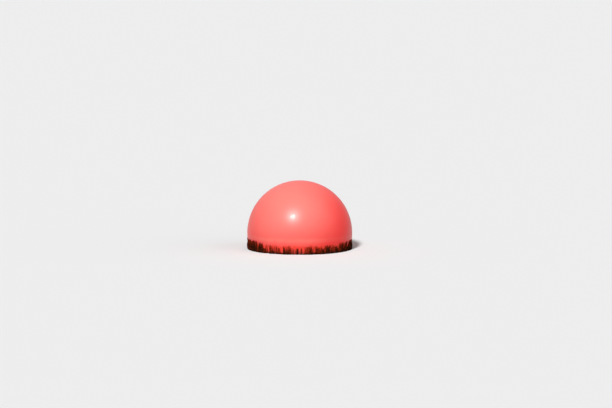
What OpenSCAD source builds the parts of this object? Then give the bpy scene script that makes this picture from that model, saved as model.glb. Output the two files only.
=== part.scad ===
// Spherical mooring buoy: an inflated vinyl ball afloat, its solid moulded rope hold,
// inflation valve, bow shackle and swivel, and the weed that grows round its waterline.
// Millimetres. The origin is on the ball's axis at the water's surface, +Z is up.

/* [Ball] */
// Outside diameter of the inflated ball
ball_d = 460; // [340:5:640]
// Thickness of the ball's vinyl wall
wall_t = 3; // [2.5:0.5:6]
// Height of the ball's centre above the water
float_h = 68; // [50:1:90]

/* [Cuff round the ball's mouth] */
// Diameter of the mouth that the rope hold is bonded into
mouth_d = 100; // [80:1:120]
// Wall of the cuff round the mouth
cuff_t = 8; // [5:0.5:12]
// Length of the straight part of the cuff
cuff_len = 11; // [6:1:24]
// Radius of the fillet that blends the ball into the cuff
cuff_fillet = 28; // [16:1:44]

/* [Rope hold] */
// Length of the plug that fills the mouth above the collar
plug_len = 40; // [30:1:60]
// Thickness of the collar that closes the mouth
collar_t = 8; // [4:0.5:14]
// Diameter of the neck below the collar
neck_d = 52; // [40:1:64]
// Drop from the collar's underside to the centre of the eye
eye_drop = 68; // [58:1:90]
// Thickness of the flat tab round the eye
tab_t = 26; // [18:1:34]
// Width of rubber left round the eye
tab_rim = 20; // [14:1:26]
// Height of the raised lip round the eye
lip_h = 1.5; // [0.5:0.5:3]
// Width of the raised lip round the eye
lip_w = 7; // [4:0.5:10]
// Number of gussets under the collar
rib_count = 8; // [4:1:12]
// Thickness of a gusset
rib_t = 6; // [3:0.5:9]

/* [Inflation valve] */
// Angle of the valve from the ball's lower pole
valve_tilt = 32; // [28:1:38]
// Direction of the valve round the ball, from +X
valve_turn = 180; // [0:1:360]
// Diameter of the moulded boss under the valve
boss_d = 38; // [30:1:44]
// Height of that boss above the ball
boss_h = 2.5; // [1.5:0.5:5]
// Diameter of the valve's barrel
barrel_d = 18; // [14:0.5:22]
// Length of the barrel below its flange
barrel_len = 20; // [14:1:30]
// Width of the valve's flange beyond the barrel
flange_w = 4; // [2:0.5:5]
// Thickness of the valve's flange
flange_t = 2; // [1:0.5:4]
// Diameter of the screw in the valve
screw_d = 10; // [6:0.5:11]
// Length of that screw
screw_len = 14; // [8:1:18]
// Width of the screw's head beyond its shank
screw_head_w = 3; // [1.5:0.5:4]
// Thickness of the screw's head
screw_head_t = 3.5; // [2:0.5:6]
// Thickness of the gasket under the screw's head
gasket_t = 1.2; // [0.8:0.2:2]
// Width of the slot in the screw's head
slot_w = 2.2; // [1:0.2:4]
// Depth of the slot in the screw's head
slot_deep = 1.8; // [0.6:0.2:2]

/* [Bow shackle] */
// Diameter of the shackle's bar
bar_d = 16; // [12:0.5:20]
// Inside radius of the bow
bow_r = 21.5; // [19:0.5:28]
// Inside length of the shackle, pin to crown
bow_len = 60.5; // [56:0.5:80]
// Diameter of the shackle's pin
pin_d = 19; // [14:0.5:22]
// Width of steel round the pin in each ear
ear_rim = 9.5; // [7:0.5:12]
// Thickness of the ears beyond the bar's
ear_extra = 3; // [2.5:0.25:5]
// Thickness of the pin's collar
pin_collar_t = 4; // [2:0.5:6]
// Width of the pin's collar beyond the pin
pin_collar_w = 4.5; // [2.5:0.5:7]
// Thickness of the flat grip on the pin's end
grip_t = 9; // [6:0.5:12]
// Radius of the flat grip
grip_r = 12; // [10:0.5:15]
// Diameter of the hole in the grip
grip_hole_d = 9; // [7:0.5:11]
// Length of the pin's tip past the far ear
pin_tip = 3; // [1:0.5:6]
// Diameter of the seizing wire that locks the pin
wire_d = 2.4; // [1.4:0.2:3]
// Distance below the pin at which the wire grips the bow's leg
wire_drop = 30; // [27:1:38]

/* [Swivel] */
// Diameter of the swivel's bar
loop_bar_d = 13; // [10:0.5:15]
// Inside radius of the swivel's loop
loop_r = 14; // [12:0.5:20]
// Length of the loop's straight sides
loop_side = 26; // [22:1:40]
// Diameter of the swivel's shank
shank_d = 14; // [10:0.5:18]
// Width of the hub round the shank
hub_w = 8; // [6:0.5:12]
// Height of the hub
hub_h = 23; // [20:1:30]
// Height of the hub's top above the middle of the loop's lower bar
hub_rise = 13; // [13:0.5:15]
// Width of the shank's head beyond the shank
head_w = 4.5; // [3:0.5:6]
// Thickness of the shank's head
head_t = 6; // [4:0.5:8]
// Thickness of the washer under the shank's head
washer_t = 2; // [1:0.25:3]
// Thickness of the shoulder below the hub
shoulder_t = 5; // [3:0.5:10]
// Radius of the hole in the lower eye
eye_hole_r = 14; // [10:0.5:20]
// Width of steel round that hole
eye_rim = 13; // [10:0.5:18]
// Thickness of the lower eye
eye_t = 14; // [11:0.5:20]
// Rounding of the forged edges
forge_r = 4; // [1:0.5:5]

/* [Weed at the waterline] */
// Height to which the weed grows above the water
weed_top = 38; // [20:1:46]
// Depth to which the thick weed reaches below the water
weed_deep = 95; // [60:1:105]
// Greatest thickness of the weed
weed_t = 10; // [5:0.5:14]

/* [Clearances] */
// Gap between a piece and what it rests on or hangs from
seat_gap = 0.3; // [0.2:0.05:0.5]
// Clearance round the shackle's pin in its ears
pin_play = 0.3; // [0.2:0.05:0.6]
// Clearance round the shackle's pin in the rope hold's eye
eye_play = 1.5; // [0.8:0.1:3]
// Clearance each side of the tab between the shackle's ears
tab_play = 2; // [1:0.1:4]
// Clearance round the swivel's shank in its hub
shank_play = 0.3; // [0.2:0.05:0.6]

/* [Hidden] */
$fn = 64;

// Small overlap that joins two shapes of one piece
bite = 1;
// Number of straight steps in the fillet between ball and cuff
fillet_steps = 10;

// Ball and cuff
ball_r = ball_d / 2;
mouth_r = mouth_d / 2;
cuff_r = mouth_r + cuff_t;
fillet_x = cuff_r + cuff_fillet;
fillet_z = float_h - sqrt(pow(ball_r + cuff_fillet, 2) - pow(fillet_x, 2));
fillet_angle = atan2(float_h - fillet_z, fillet_x);
cuff_end = fillet_z - cuff_len;

// Rope hold
collar_end = cuff_end - collar_t;
neck_r = neck_d / 2;
cove_r = cuff_r - neck_r;
eye_z = collar_end - eye_drop;
pin_r = pin_d / 2;
eye_r = pin_r + eye_play;
tab_r = eye_r + tab_rim;
rib_drop = eye_drop - tab_r;

// Inflation valve, in its own frame: the ball's surface is at zero and outwards is +Z
barrel_r = barrel_d / 2;
screw_r = screw_d / 2;
flange_z = boss_h;
plug_z = flange_z + flange_t + gasket_t;

// Shackle, in its own frame: the pin runs along X through the origin
bar_r = bar_d / 2;
pin_z = eye_z - (eye_play - seat_gap);
ear_in = tab_t / 2 + lip_h + tab_play;
ear_t = bar_d + ear_extra;
ear_mid = ear_in + ear_t / 2;
ear_out = ear_in + ear_t;
ear_r = pin_r + ear_rim;
bow_mid_r = bow_r + bar_r;
bow_z = -(pin_r + bow_len - bow_r);
leg_reach = sqrt(pow(ear_mid, 2) + pow(bow_z, 2));
leg_flare = asin(bow_mid_r / leg_reach) - atan2(ear_mid, -bow_z);
leg_len = sqrt(pow(leg_reach, 2) - pow(bow_mid_r, 2));
leg_taper = 0.1;
crown_z = bow_z - bow_r;
grip_x = ear_out + pin_collar_t + grip_r - bite;

// Seizing wire: a half ring round the bow's leg, and two strands up to the pin's grip
wire_r = wire_d / 2;
wire_turn_r = bar_r + wire_r + seat_gap;
wire_leg_x = ear_mid + wire_drop * tan(leg_flare);
wire_grip_y = grip_t / 2 + wire_r + seat_gap;
wire_knot_r = wire_r + 0.1;

// Swivel, in the shackle's frame
loop_bar_r = loop_bar_d / 2;
loop_mid_r = loop_r + loop_bar_r;
loop_top_z = crown_z + seat_gap - loop_r;
loop_low_z = loop_top_z - loop_side;
hub_top_z = loop_low_z - loop_mid_r + hub_rise;
hub_z = hub_top_z - hub_h;
washer_z = hub_top_z + seat_gap;
head_z = washer_z + washer_t;
shank_r = shank_d / 2;
washer_r = shank_r + head_w;
hub_r = shank_r + shank_play + hub_w;
shoulder_z = hub_z - seat_gap - shoulder_t;
eye_ring_r = eye_hole_r + eye_rim;
lower_eye_z = shoulder_z - eye_ring_r + bite;

// Weed: a crescent that is thickest half way between its two edges on the ball
weed_in_r = ball_r + seat_gap;
weed_hi = asin((weed_top - float_h) / weed_in_r);
weed_lo = asin((-weed_deep - float_h) / weed_in_r);
weed_half = (weed_hi - weed_lo) / 2;
weed_mid = (weed_hi + weed_lo) / 2;
weed_chord = weed_in_r * sin(weed_half);
weed_rise = weed_in_r * (1 - cos(weed_half)) + weed_t;
weed_r = (pow(weed_chord, 2) + pow(weed_rise, 2)) / (2 * weed_rise);
weed_out = weed_in_r + weed_t - weed_r;

// Keeps the half of an outline that is right of the axis
module right_half(reach) {
    intersection() {
        children();
        translate([0, -reach]) square([reach, 2 * reach]);
    }
}

// Rectangle centred on the origin with its corners rounded
module rounded_rect(w, h, r) {
    square([w - 2 * r, h], center = true);
    square([w, h - 2 * r], center = true);
    for (x = [-1, 1], y = [-1, 1])
        translate([x * (w / 2 - r), y * (h / 2 - r)]) circle(r);
}

// Disc on the XY plane with a rounded rim
module rounded_disc(r, h, edge) {
    translate([0, 0, h / 2]) rotate_extrude()
        right_half(r + h) rounded_rect(2 * r, h, edge);
}

// Part of a round bar bent to a ring, in the XY plane from +X
module bent_bar(ring_r, r, angle) {
    rotate_extrude(angle = angle) translate([ring_r, 0]) circle(r);
}

// Moves its children to the valve's place, with +Z along the ball's surface normal
module at_valve() {
    translate([0, 0, float_h])
        rotate([0, 0, valve_turn])
            rotate([0, 180 - valve_tilt, 0])
                translate([0, 0, ball_r]) children();
}

// Outline of the ball and its cuff
module ball_outline() {
    translate([0, float_h]) circle(ball_r);
    polygon(concat(
        [[0, cuff_end], [0, float_h]],
        [for (i = [0 : fillet_steps])
            let (a = 180 - fillet_angle + i * fillet_angle / fillet_steps)
            [fillet_x + cuff_fillet * cos(a), fillet_z + cuff_fillet * sin(a)]],
        [[cuff_r, cuff_end]]));
}

module ball() color("tomato") difference() {
    union() {
        rotate_extrude() right_half(ball_d) ball_outline();
        at_valve() translate([0, 0, -wall_t]) cylinder(d = boss_d, h = wall_t + boss_h);
    }
    difference() {
        translate([0, 0, float_h]) sphere(ball_r - wall_t);
        at_valve() translate([0, 0, -wall_t - boss_h])
            cylinder(d = boss_d, h = wall_t + boss_h);
    }
    translate([0, 0, cuff_end - bite])
        cylinder(r = mouth_r, h = float_h - cuff_end);
    at_valve() translate([0, 0, -barrel_len]) cylinder(r = barrel_r, h = 2 * barrel_len);
}

// Half outline of the collar and of the cove below it
module collar_outline() {
    difference() {
        translate([0, collar_end - cove_r]) square([cuff_r, cove_r + collar_t]);
        translate([cuff_r, collar_end - cove_r]) circle(cove_r);
    }
}

// Flat tab, seen along the pin, from the neck to its round end
module tab_outline() {
    translate([0, eye_z]) circle(tab_r);
    translate([-neck_r, eye_z]) square([neck_d, eye_drop - cove_r / 2]);
}

module rope_hold() color("dimgray") difference() {
    union() {
        rotate_extrude() collar_outline();
        translate([0, 0, cuff_end]) cylinder(r = mouth_r, h = plug_len);
        for (i = [0 : rib_count - 1]) rotate([0, 0, (i + 0.5) * 360 / rib_count])
            rotate([90, 0, 0]) translate([0, 0, -rib_t / 2]) linear_extrude(rib_t)
                polygon([[0, collar_end + bite], [cuff_r - rib_t / 2, collar_end + bite],
                         [cuff_r - rib_t / 2, collar_end - rib_t / 2],
                         [neck_r / 2, collar_end - rib_drop], [0, collar_end - rib_drop]]);
        rotate([90, 0, 90]) translate([0, 0, -tab_t / 2]) linear_extrude(tab_t) tab_outline();
        translate([-tab_t / 2 - lip_h, 0, eye_z]) rotate([0, 90, 0])
            cylinder(r = eye_r + lip_w, h = tab_t + 2 * lip_h);
    }
    translate([-tab_t, 0, eye_z]) rotate([0, 90, 0]) cylinder(r = eye_r, h = 2 * tab_t);
}

module valve_body() color("black") at_valve() difference() {
    union() {
        translate([0, 0, flange_z]) rounded_disc(barrel_r + flange_w, flange_t, flange_t / 4);
        translate([0, 0, flange_z - barrel_len]) cylinder(r = barrel_r, h = barrel_len + bite);
    }
    translate([0, 0, flange_z - barrel_len - bite])
        cylinder(r = screw_r, h = barrel_len + flange_t + 2 * bite);
}

module valve_plug() color("white") at_valve() translate([0, 0, plug_z])
    difference() {
        union() {
            rounded_disc(screw_r + screw_head_w, screw_head_t, screw_head_t / 4);
            translate([0, 0, -screw_len]) cylinder(r = screw_r, h = screw_len + bite);
        }
        translate([-screw_d, -slot_w / 2, screw_head_t - slot_deep])
            cube([2 * screw_d, slot_w, screw_head_t]);
    }

module valve_gasket() color("dimgray") at_valve() translate([0, 0, flange_z + flange_t])
    difference() {
        cylinder(r = screw_r + screw_head_w, h = gasket_t);
        translate([0, 0, -bite]) cylinder(r = screw_r, h = gasket_t + 2 * bite);
    }

module shackle_bow() color("silver") translate([0, 0, pin_z]) difference() {
    union() {
        translate([0, 0, bow_z]) rotate([90, 0, 0]) rotate([0, 0, 180 - leg_flare])
            bent_bar(bow_mid_r, bar_r, 180 + 2 * leg_flare);
        for (side = [0, 1]) mirror([side, 0, 0]) {
            translate([ear_mid, 0, 0]) rotate([0, 180 - leg_flare, 0])
                cylinder(r1 = bar_r, r2 = bar_r - leg_taper, h = leg_len + bite);
            translate([ear_in, 0, 0]) rotate([0, 90, 0])
                rounded_disc(ear_r, ear_t, forge_r);
        }
    }
    translate([-2 * ear_out, 0, 0]) rotate([0, 90, 0])
        cylinder(r = pin_r + pin_play, h = 4 * ear_out);
}

module shackle_pin() color("gainsboro") translate([0, 0, pin_z]) difference() {
    union() {
        translate([-ear_out - pin_tip, 0, 0]) rotate([0, 90, 0])
            cylinder(r = pin_r, h = 2 * ear_out + pin_tip + seat_gap + bite);
        translate([ear_out + seat_gap, 0, 0]) rotate([0, 90, 0])
            rounded_disc(pin_r + pin_collar_w, pin_collar_t, pin_collar_t / 4);
        translate([grip_x, grip_t / 2, 0]) rotate([90, 0, 0])
            rounded_disc(grip_r, grip_t, grip_t / 4);
    }
    translate([grip_x, grip_t, 0]) rotate([90, 0, 0]) cylinder(d = grip_hole_d, h = 2 * grip_t);
}

// Straight round strand between two points
module strand(from, to, r) {
    d = to - from;
    translate(from) rotate([0, acos(d.z / norm(d)), atan2(d.y, d.x)])
        cylinder(r = r, h = norm(d));
}

module mousing_wire() color("lightgray") translate([0, 0, pin_z]) {
    translate([wire_leg_x, 0, -wire_drop]) rotate([0, -leg_flare, 0]) rotate([0, 0, 90])
        bent_bar(wire_turn_r, wire_r, 180);
    strand([grip_x, -wire_grip_y, 0], [grip_x, wire_grip_y, 0], wire_r);
    for (side = [-1, 1]) {
        at_leg = [wire_leg_x, side * wire_turn_r, -wire_drop];
        at_grip = [grip_x, side * wire_grip_y, 0];
        strand(at_leg, at_grip, wire_r);
        translate(at_leg) sphere(wire_knot_r);
        translate(at_grip) sphere(wire_knot_r);
    }
}

module swivel_loop() color("silver") translate([0, 0, pin_z]) difference() {
    union() {
        translate([0, 0, loop_top_z]) rotate([90, 0, 90])
            bent_bar(loop_mid_r, loop_bar_r, 180);
        translate([0, 0, loop_low_z]) rotate([90, 0, 90]) rotate([0, 0, 180])
            bent_bar(loop_mid_r, loop_bar_r, 180);
        for (y = [-1, 1]) translate([0, y * loop_mid_r, loop_low_z])
            cylinder(r = loop_bar_r, h = loop_side);
        translate([0, 0, hub_z]) rounded_disc(hub_r, hub_h, forge_r);
    }
    translate([0, 0, hub_z - bite]) cylinder(r = shank_r + shank_play, h = hub_h + 2 * bite);
}

module swivel_eye() color("gainsboro") translate([0, 0, pin_z]) {
    translate([0, 0, head_z]) rounded_disc(washer_r, head_t, head_t / 4);
    translate([0, 0, shoulder_z]) cylinder(r = shank_r, h = head_z - shoulder_z + bite);
    translate([0, 0, shoulder_z]) rounded_disc(hub_r, shoulder_t, shoulder_t / 4);
    translate([0, 0, lower_eye_z]) rotate([90, 0, 0]) rotate_extrude()
        translate([eye_hole_r + eye_rim / 2, 0]) rounded_rect(eye_rim, eye_t, forge_r);
}

module swivel_washer() color("silver") translate([0, 0, pin_z + washer_z]) difference() {
    cylinder(r = washer_r, h = washer_t);
    translate([0, 0, -bite]) cylinder(r = shank_r, h = washer_t + 2 * bite);
}

module weed_fringe() color("darkolivegreen")
    translate([0, 0, float_h]) rotate_extrude($fn = 120) right_half(ball_d) difference() {
        rotate([0, 0, weed_mid]) translate([weed_out, 0]) circle(weed_r);
        circle(weed_in_r);
    }

ball();
rope_hold();
valve_body();
valve_plug();
valve_gasket();
shackle_bow();
shackle_pin();
mousing_wire();
swivel_loop();
swivel_eye();
swivel_washer();
weed_fringe();
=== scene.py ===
"""Dresses an inflatable ball buoy afloat: glossy red vinyl, waterline weed and galvanised tackle."""
import logging
import math
from dataclasses import dataclass
from enum import Enum
from random import Random
from typing import Iterable, Sequence, Union

import bmesh
import bpy
from mathutils import Matrix, Vector, noise


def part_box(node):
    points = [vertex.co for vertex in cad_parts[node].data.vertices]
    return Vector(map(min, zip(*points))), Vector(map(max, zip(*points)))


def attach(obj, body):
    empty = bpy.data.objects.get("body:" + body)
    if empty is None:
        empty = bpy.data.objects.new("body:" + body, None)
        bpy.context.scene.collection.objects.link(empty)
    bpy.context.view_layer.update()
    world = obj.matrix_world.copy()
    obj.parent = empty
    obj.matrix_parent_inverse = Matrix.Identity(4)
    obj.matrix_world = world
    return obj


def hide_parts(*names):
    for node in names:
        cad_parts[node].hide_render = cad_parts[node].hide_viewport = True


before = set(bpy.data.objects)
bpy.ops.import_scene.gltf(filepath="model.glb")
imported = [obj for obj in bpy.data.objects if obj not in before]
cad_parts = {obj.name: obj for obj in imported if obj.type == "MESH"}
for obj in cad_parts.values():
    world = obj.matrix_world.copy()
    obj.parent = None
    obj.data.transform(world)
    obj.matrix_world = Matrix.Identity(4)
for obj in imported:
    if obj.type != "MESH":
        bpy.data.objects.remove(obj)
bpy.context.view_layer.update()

LOG = logging.getLogger("buoy")
Number = Union[int, float]
# Red, green and blue
Colour = tuple[float, float, float]
# X, Y and Z in metres, or a direction
Place = tuple[float, float, float]
# Two values, from one to the other
Span = tuple[float, float]
# The size of lumps or waves, and how many to the metre
Lumps = tuple[float, float]
# The points of a strand, each with its radius
Strand = list[tuple[Vector, float]]
MM = 0.001
WHITE = (1.0, 1.0, 1.0)


# Shader maths

class Field:
    """A shader socket that Python arithmetic extends with Math nodes."""

    def __init__(self, graph: "Graph", socket: bpy.types.NodeSocket) -> None:
        """Wraps one output socket of a graph's node."""
        self.graph = graph
        self.socket = socket

    def _math(self, operation: str, first: "Value", second: "Value") -> "Field":
        """Adds one Math node on two values."""
        return self.graph.add("ShaderNodeMath", {"operation": operation}, {0: first, 1: second})

    def __add__(self, other: "Value") -> "Field":
        """Sum of two values."""
        return self._math("ADD", self, other)

    __radd__ = __add__

    def __sub__(self, other: "Value") -> "Field":
        """This value less another."""
        return self._math("SUBTRACT", self, other)

    def __rsub__(self, other: "Value") -> "Field":
        """Another value less this one."""
        return self._math("SUBTRACT", other, self)

    def __mul__(self, other: "Value") -> "Field":
        """Product of two values."""
        return self._math("MULTIPLY", self, other)

    __rmul__ = __mul__

    def most(self, other: "Value") -> "Field":
        """The larger of two values."""
        return self._math("MAXIMUM", self, other)

    def swing(self, amount: float) -> "Field":
        """Turns noise between 0 and 1 into a swing of that amount about zero."""
        return (self - 0.5) * amount

    def rise(self, low: "Value", high: "Value") -> "Field":
        """Runs smoothly from 0 at low to 1 at high.

        Args:
            low: the value at which the result is still 0.
            high: the value from which the result is 1; it may lie below low.

        Returns:
            The smooth step as a new field.
        """
        return self.graph.add("ShaderNodeMapRange", {"interpolation_type": "SMOOTHSTEP", "clamp": True},
                              {0: self, 1: low, 2: high, 3: 0.0, 4: 1.0})


Value = Union[Field, Number, Sequence[float]]


@dataclass(frozen=True)
class Grain:
    """A fractal noise: its features to the metre, how fine and rough it is, and its pull along Z."""

    scale: float
    detail: float = 3.0
    roughness: float = 0.5
    distortion: float = 0.0
    upright: float = 1.0


@dataclass(frozen=True)
class Specks:
    """Scattered round specks: cells to the metre, radius in cells, and the share of cells in use."""

    cells: float
    radius: float
    kept: float


@dataclass(frozen=True)
class Coat:
    """A colour over another: the values of a field at which it starts and is full, and its cover there."""

    colour: Colour
    start: float
    full: float
    cover: float

    def spread(self, where: Field) -> Field:
        """How far the coat has grown, from 0 to 1, by the value of a field."""
        return where.rise(self.start, self.full)


class Graph:
    """The node tree of one material, built by Python expressions."""

    EDGE: Span = (0.515, 0.575)
    HOLLOW: Span = (0.485, 0.430)
    SPECK_EDGE: float = 0.25

    def __init__(self, name: str, tree: bpy.types.NodeTree | None = None) -> None:
        """Empties a given node tree, or makes a material of that name.

        Args:
            name: the material's name.
            tree: the node tree to fill, if it isn't a new material's.
        """
        if tree is None:
            self.material = bpy.data.materials.new(name)
            self.material.use_nodes = True
            tree = self.material.node_tree
        self.tree = tree
        self.tree.nodes.clear()

    def add(self, kind: str, settings: dict | None = None, inputs: dict | None = None,
            output: Union[int, str] = 0) -> Field:
        """Adds any node.

        Args:
            kind: the node's type name.
            settings: the node's own properties, which are set first.
            inputs: values or fields by socket name or number.
            output: which output to give back.

        Returns:
            The chosen output as a field.
        """
        node = self.tree.nodes.new(kind)
        for key, value in (settings or {}).items():
            setattr(node, key, value)
        for key, value in (inputs or {}).items():
            socket = node.inputs[key]
            if isinstance(value, Field):
                self.tree.links.new(value.socket, socket)
            elif isinstance(value, tuple) and socket.type == "RGBA" and len(value) == 3:
                socket.default_value = (*value, 1.0)
            else:
                socket.default_value = value
        return Field(self, node.outputs[output])

    def beside(self, field: Field, output: str) -> Field:
        """Another output of the node that a field comes from."""
        return Field(self, field.socket.node.outputs[output])

    def place(self) -> Field:
        """Object coordinates, in metres in the buoy's frame."""
        return self.add("ShaderNodeTexCoord", output="Object")

    def height(self, where: Field) -> Field:
        """The Z of a vector."""
        return self.add("ShaderNodeSeparateXYZ", inputs={0: where}, output="Z")

    def noise(self, where: Field, grain: Grain) -> Field:
        """Fractal noise, from 0 to 1.

        Args:
            where: the coordinates.
            grain: the noise's features.

        Returns:
            The noise, which is 0.5 on average.
        """
        if grain.upright != 1.0:
            where = self.add("ShaderNodeMapping", {"vector_type": "POINT"},
                             {"Vector": where, "Scale": (1.0, 1.0, grain.upright)})
        return self.add("ShaderNodeTexNoise", {"noise_dimensions": "3D"},
                        {"Vector": where, "Scale": grain.scale, "Detail": grain.detail,
                         "Roughness": grain.roughness, "Distortion": grain.distortion})

    def vector_math(self, operation: str, where: Field, other: Place) -> Field:
        """A number from two vectors, such as their distance."""
        return self.add("ShaderNodeVectorMath", {"operation": operation}, {0: where, 1: other}, "Value")

    def spots(self, where: Field, specks: Specks) -> Field:
        """Scatters round specks.

        Args:
            where: the coordinates.
            specks: their cells, radius and share.

        Returns:
            1 in a speck, and 0 outside it.
        """
        away = self.add("ShaderNodeTexVoronoi", {"feature": "F1"},
                        {"Vector": where, "Scale": specks.cells, "Randomness": 1.0}, "Distance")
        tone = self.add("ShaderNodeSeparateXYZ", inputs={0: self.beside(away, "Color")})
        size = tone.rise(1.0 - specks.kept, 1.0) * specks.radius
        return (size - away).rise(0.0, self.SPECK_EDGE * specks.radius)

    def edges(self) -> tuple[Field, Field]:
        """Where the piece's edges stand out, and where its corners go in."""
        point = self.add("ShaderNodeNewGeometry", output="Pointiness")
        return point.rise(*self.EDGE), point.rise(*self.HOLLOW)

    def blend(self, factor: Value, low: Value, high: Value) -> Field:
        """Mixes two colours by a factor."""
        return self.add("ShaderNodeMix", {"data_type": "RGBA", "blend_type": "MIX"},
                        {0: factor, 6: low, 7: high}, 2)

    def coat(self, below: Value, coat: Coat, spread: Field) -> Field:
        """Lays a coat over a colour, as far as it has grown."""
        return self.blend(spread * coat.cover, below, coat.colour)

    def bump(self, height: Field, distance: float, under: Field | None = None) -> Field:
        """Bumps the surface.

        Args:
            height: how far the surface stands out, from 0 to 1.
            distance: the height of 1, in metres.
            under: another bumped normal that this one lies over.

        Returns:
            The bumped normal.
        """
        inputs = {"Height": height, "Distance": distance, "Strength": 1.0}
        if under is not None:
            inputs["Normal"] = under
        return self.add("ShaderNodeBump", inputs=inputs)

    def surface(self, **sockets: Value) -> bpy.types.Material:
        """Ends the tree in a Principled surface.

        Args:
            sockets: values or fields by socket name, with _ for a space.

        Returns:
            The finished material.
        """
        named = {key.replace("_", " "): value for key, value in sockets.items()}
        self.end(self.add("ShaderNodeBsdfPrincipled", inputs=named))
        return self.material

    def end(self, body: Field, kind: str = "ShaderNodeOutputMaterial") -> None:
        """Links a shader to the tree's output."""
        out = self.tree.nodes.new(kind)
        self.tree.links.new(body.socket, out.inputs["Surface"])


# Finishes

@dataclass(frozen=True)
class RedVinyl:
    """Glossy red vinyl, paled on top by the sun and, as painted light, on the side that faces the key lamp,
    stained at the waterline and slimed below it.
    """

    red: Colour = (0.95, 0.027, 0.023)
    # Pale pink: partly sun fade, partly painted light on the key lamp's side
    faded_and_lit: Colour = (0.95, 0.200, 0.168)
    # Direction of the pale blend: the key lamp's side, so it paints light as well as sun fade on top
    lamp_and_sun_side: Place = (-0.25, -0.71, 0.66)
    fade_and_light_span: Span = (100 * MM, 300 * MM)
    fade_and_light_waver: float = 50 * MM
    dirt: Colour = (0.30, 0.05, 0.03)
    dirt_specks: Specks = Specks(52.0, 0.045, 0.22)
    dirt_cover: float = 0.5
    scum: Colour = (0.93, 0.22, 0.17)
    scum_height: float = 60 * MM
    scum_half: float = 15 * MM
    scum_waver: float = 10 * MM
    scum_patches: Span = (0.10, 0.60)
    scum_cover: float = 0.10
    # More scum shows on the pale side, which is partly painted light
    scum_cover_lit: float = 0.75
    film: Coat = Coat((0.93, 0.040, 0.016), 43 * MM, 32 * MM, 0.8)
    film_ragged: Span = (24 * MM, 12 * MM)
    stain: Coat = Coat((0.46, 0.034, 0.012), 25 * MM, 6 * MM, 0.70)
    deep_stain: Coat = Coat((0.100, 0.018, 0.007), 14 * MM, -6 * MM, 0.80)
    stain_ragged: Span = (50 * MM, 20 * MM)
    slime: Colour = (0.075, 0.050, 0.016)
    deep_slime: Colour = (0.160, 0.105, 0.038)
    slime_tones: Span = (0.35, 0.65)
    slime_depth: Span = (-4 * MM, -60 * MM)
    slime_waver: float = 120 * MM
    slime_patches: Span = (0.30, 0.62)
    slime_streaked: float = 0.35
    slime_cover: float = 0.88
    broad: Grain = Grain(7.0)
    waves: Grain = Grain(18.0)
    patches: Grain = Grain(34.0, 5.0, 0.62, 0.3)
    streaks: Grain = Grain(150.0, 4.0, 0.6, upright=0.10)
    peel: Grain = Grain(420.0, 2.0)
    peel_height: float = 0.02 * MM
    grit_height: float = 1.2 * MM
    film_grit: float = 0.3
    roughness: float = 0.37
    rough_patches: float = 0.05
    rough_film: float = 0.08
    rough_slime: float = 0.20
    ior: float = 1.45
    coat_weight: float = 0.05
    coat_roughness: float = 0.10
    coat_ior: float = 1.5

    def build(self) -> bpy.types.Material:
        """Builds the material.

        Returns:
            The material.
        """
        g = Graph("red_vinyl_finish")
        p = g.place()
        z = g.height(p)
        patch, streak = g.noise(p, self.patches), g.noise(p, self.streaks)
        film = self.film.spread(self._ragged(z, streak, patch, self.film_ragged))
        colour = g.coat(self._dry(g, p, z, patch), self.film, film)
        ragged = self._ragged(z, streak, patch, self.stain_ragged)
        for stain in (self.stain, self.deep_stain):
            colour = g.coat(colour, stain, stain.spread(ragged))
        covered = ((z + patch.swing(self.slime_waver)).rise(*self.slime_depth)
                   * (patch + streak.swing(self.slime_streaked)).rise(*self.slime_patches))
        slimed = g.blend(streak.rise(*self.slime_tones), self.slime, self.deep_slime)
        colour = g.blend(covered * self.slime_cover, colour, slimed)
        rough = (self.roughness + patch.swing(self.rough_patches) + film * self.rough_film
                 + covered * self.rough_slime)
        gritty = patch * covered + streak * film * self.film_grit
        normal = g.bump(gritty, self.grit_height, g.bump(g.noise(p, self.peel), self.peel_height))
        return g.surface(Base_Color=colour, Roughness=rough, Normal=normal, IOR=self.ior,
                         Coat_Weight=self.coat_weight, Coat_Roughness=self.coat_roughness,
                         Coat_IOR=self.coat_ior)

    @staticmethod
    def _ragged(z: Field, streak: Field, patch: Field, amounts: Span) -> Field:
        """Height above the waterline, made uneven by streaks and patches of those amounts."""
        return z + streak.swing(amounts[0]) + patch.swing(amounts[1])

    def _dry(self, g: Graph, p: Field, z: Field, patch: Field) -> Field:
        """Colours the dry vinyl: paler on top from sun fade and paler towards the key lamp as painted
        light, with specks of dirt and a band of dried scum that shows more where the vinyl is paler.

        Args:
            g: the material's graph.
            p: Object coordinates.
            z: height above the waterline.
            patch: noise of the size of a coin.

        Returns:
            The colour.
        """
        # Painted light: the vinyl turns pale towards the key lamp's side, besides the sun-faded top
        toward_lamp = g.vector_math("DOT_PRODUCT", p, self.lamp_and_sun_side)
        fade_and_light = (toward_lamp + g.noise(p, self.broad).swing(self.fade_and_light_waver)).rise(*self.fade_and_light_span)
        colour = g.blend(fade_and_light, self.red, self.faded_and_lit)
        colour = g.blend(g.spots(p, self.dirt_specks) * self.dirt_cover, colour, self.dirt)
        level = z + g.noise(p, self.waves).swing(self.scum_waver)
        band = (level.rise(self.scum_height - self.scum_half, self.scum_height)
                * level.rise(self.scum_height + self.scum_half, self.scum_height))
        # The scum's cover follows the same pale blend, so it carries the painted light too
        cover = patch.rise(*self.scum_patches) * (fade_and_light * self.scum_cover_lit + self.scum_cover)
        return g.blend(band * cover, colour, self.scum)


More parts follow.
